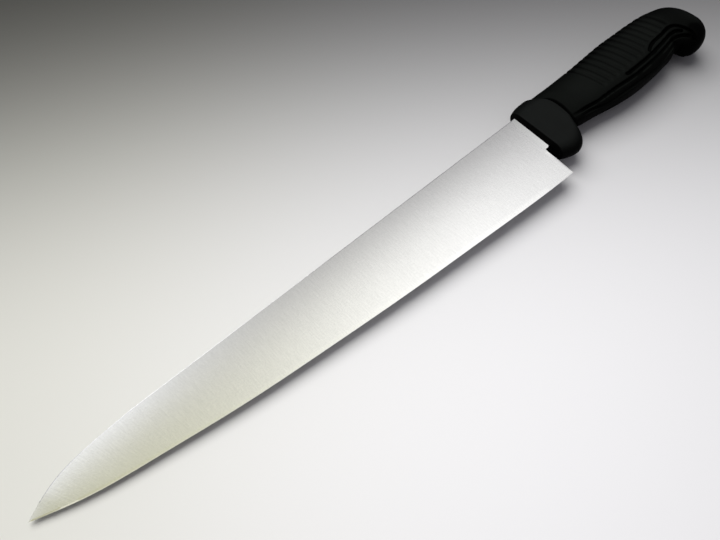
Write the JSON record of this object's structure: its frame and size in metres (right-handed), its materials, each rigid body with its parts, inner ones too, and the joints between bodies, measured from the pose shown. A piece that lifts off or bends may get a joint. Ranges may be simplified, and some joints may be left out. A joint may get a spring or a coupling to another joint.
{
  "type": "carving knife",
  "caption": "Long slicing and carving knife with a thin tapered steel blade, a smooth collar with a finger guard, and a ribbed soft grip that ends in a hook",
  "frame": {"origin": "front face of the collar, on the line of the spine and half way through the thickness of the blade", "axes": "+X along the handle to the pommel (the point is at -X), +Y from the cutting edge to the spine, +Z out of the side of the blade"},
  "size_m": [0.4324, 0.0485, 0.0216],
  "materials": {
    "blade_steel": "satin, with fine grinding lines from spine to edge",
    "collar_plastic": "smooth matte, moulded",
    "grip_elastomer": "soft matte, ribbed and fluted"
  },
  "bodies": {
    "root": {"blade": "blade_steel", "handle_core": "collar_plastic", "grip_sleeve": "grip_elastomer"}
  },
  "joints": []
}
